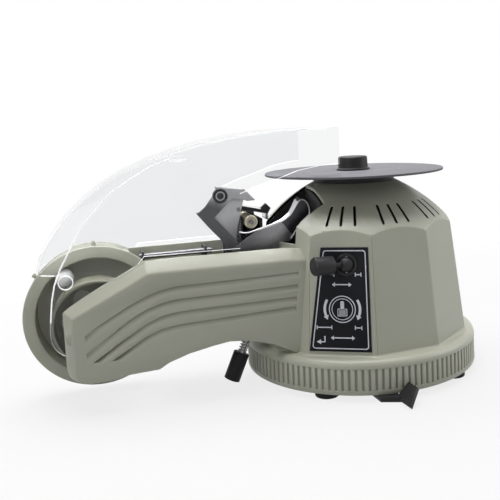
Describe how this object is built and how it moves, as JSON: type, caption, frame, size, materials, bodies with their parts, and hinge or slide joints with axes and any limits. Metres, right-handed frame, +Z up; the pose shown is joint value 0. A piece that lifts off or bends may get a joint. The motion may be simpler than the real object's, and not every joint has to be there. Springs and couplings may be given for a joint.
{
  "type": "electric tape dispenser",
  "caption": "Carousel tape dispenser: round motor base with dome and turntable, arm with tape reel, feed head, cutter and a hinged clear hood.",
  "frame": {"origin": "on the turntable's axis, at the level of the table under the feet", "axes": "+Z up along the turntable's axis, the arm points along -X, the label faces -Y"},
  "size_m": [0.4173, 0.2452, 0.2294],
  "materials": {
    "casing": "satin",
    "black_plastic": "satin",
    "rubber": "matte",
    "clear_plastic": "polished",
    "disc_plastic": "satin",
    "zinc_steel": "satin",
    "chrome": "polished",
    "black_steel": "satin",
    "label": "satin",
    "brass": "satin",
    "board": "matte",
    "iron": "matte",
    "white_plastic": "matte",
    "roller_rubber": "matte",
    "red_plastic": "gloss"
  },
  "bodies": {
    "base": {"base_skirt": "casing", "base_plate": "black_plastic", "rubber_feet": "rubber", "base_screws": "zinc_steel", "table_clip": "black_plastic", "dome_housing": "casing", "label_panel": "label", "width_bezel": "chrome", "width_pin": "chrome", "neck_ring": "black_plastic", "chassis_plate": "zinc_steel", "shaft_bush": "brass", "drive_motor": "zinc_steel", "transformer": "iron", "control_board": "board", "power_inlet": "black_plastic", "rocker_frame": "black_plastic", "mouth_liner": "black_plastic", "arm_body": "casing", "arm_front_cover": "casing", "reel_dish": "casing", "reel_spindle": "chrome", "dome_stud": "chrome", "hood_pivots": "chrome", "guide_rod": "chrome", "rod_brackets": "zinc_steel", "head_bracket": "zinc_steel", "head_frame": "zinc_steel", "inner_plate": "zinc_steel", "side_guide": "zinc_steel", "head_pins": "chrome", "roller_posts": "black_steel", "presser_screw": "black_steel", "presser_spring": "black_steel", "feed_motor": "zinc_steel", "length_bush": "black_plastic", "length_spring": "black_steel", "stop_guide": "zinc_steel"},
    "turntable": {"turntable_disc": "disc_plastic", "turntable_knob": "black_plastic", "turntable_shaft": "chrome", "turntable_gear": "white_plastic"},
    "pinion": {"motor_pinion": "brass"},
    "reel": {"core_hub": "black_plastic"},
    "hood": {"clear_hood": "clear_plastic"},
    "width_lever": {"width_lever": "black_plastic"},
    "length_knob": {"length_rod": "zinc_steel", "length_knob": "black_plastic"},
    "length_stop": {"length_stop": "brass"},
    "feed": {"feed_roller": "rubber"},
    "pressure": {"pressure_roller": "roller_rubber"},
    "cutter": {"cutter_arm": "black_steel", "cutter_blade": "chrome"},
    "rocker": {"power_rocker": "red_plastic"}
  },
  "joints": [
    {"name": "turntable_spin", "type": "hinge", "parent": "base", "child": "turntable", "pos_m": [0, 0, 0.186], "axis": [0, 0, 1], "continuous": true},
    {"name": "pinion_spin", "type": "hinge", "parent": "base", "child": "pinion", "pos_m": [0.03977, 0.03977, 0.1], "axis": [0, 0, 1], "continuous": true},
    {"name": "reel_spin", "type": "hinge", "parent": "base", "child": "reel", "pos_m": [-0.245, -0.016, 0.0729], "axis": [0, 1, 0], "continuous": true},
    {"name": "hood_open", "type": "hinge", "parent": "base", "child": "hood", "pos_m": [-0.265, 0, 0.067], "axis": [0, -1, 0], "range_deg": [0, 75]},
    {"name": "width_swing", "type": "hinge", "parent": "base", "child": "width_lever", "pos_m": [-0.03884, -0.07955, 0.11269], "axis": [0.0516, 0.0931, 0.9943], "range_deg": [0, 100]},
    {"name": "length_turn", "type": "hinge", "parent": "base", "child": "length_knob", "pos_m": [-0.12315, -0.025, 0.03015], "axis": [0.4035, 0, 0.915], "range_deg": [-1080, 1080]},
    {"name": "length_travel", "type": "slide", "parent": "base", "child": "length_stop", "axis": [0.4035, 0, 0.915], "range_m": [-0.0031, 0.0031]},
    {"name": "feed_spin", "type": "hinge", "parent": "base", "child": "feed", "pos_m": [-0.1065, 0, 0.1349], "axis": [0, 1, 0], "continuous": true},
    {"name": "pressure_spin", "type": "hinge", "parent": "base", "child": "pressure", "pos_m": [-0.1065, 0, 0.1475], "axis": [0, 1, 0], "continuous": true},
    {"name": "cutter_lift", "type": "hinge", "parent": "base", "child": "cutter", "pos_m": [-0.118, 0, 0.16], "axis": [0, -1, 0], "range_deg": [0, 40]},
    {"name": "power_press", "type": "hinge", "parent": "base", "child": "rocker", "pos_m": [0.05768, 0.07123, 0.06166], "axis": [-0.7771, 0.6293, 0], "range_deg": [0, 14]}
  ],
  "couplings": [
    {"joint": "pinion_spin", "follows": "turntable_spin", "ratio": -4},
    {"joint": "length_travel", "follows": "length_turn", "m_per_rad": 0.00015915},
    {"joint": "pressure_spin", "follows": "feed_spin", "ratio": -1.0862}
  ]
}
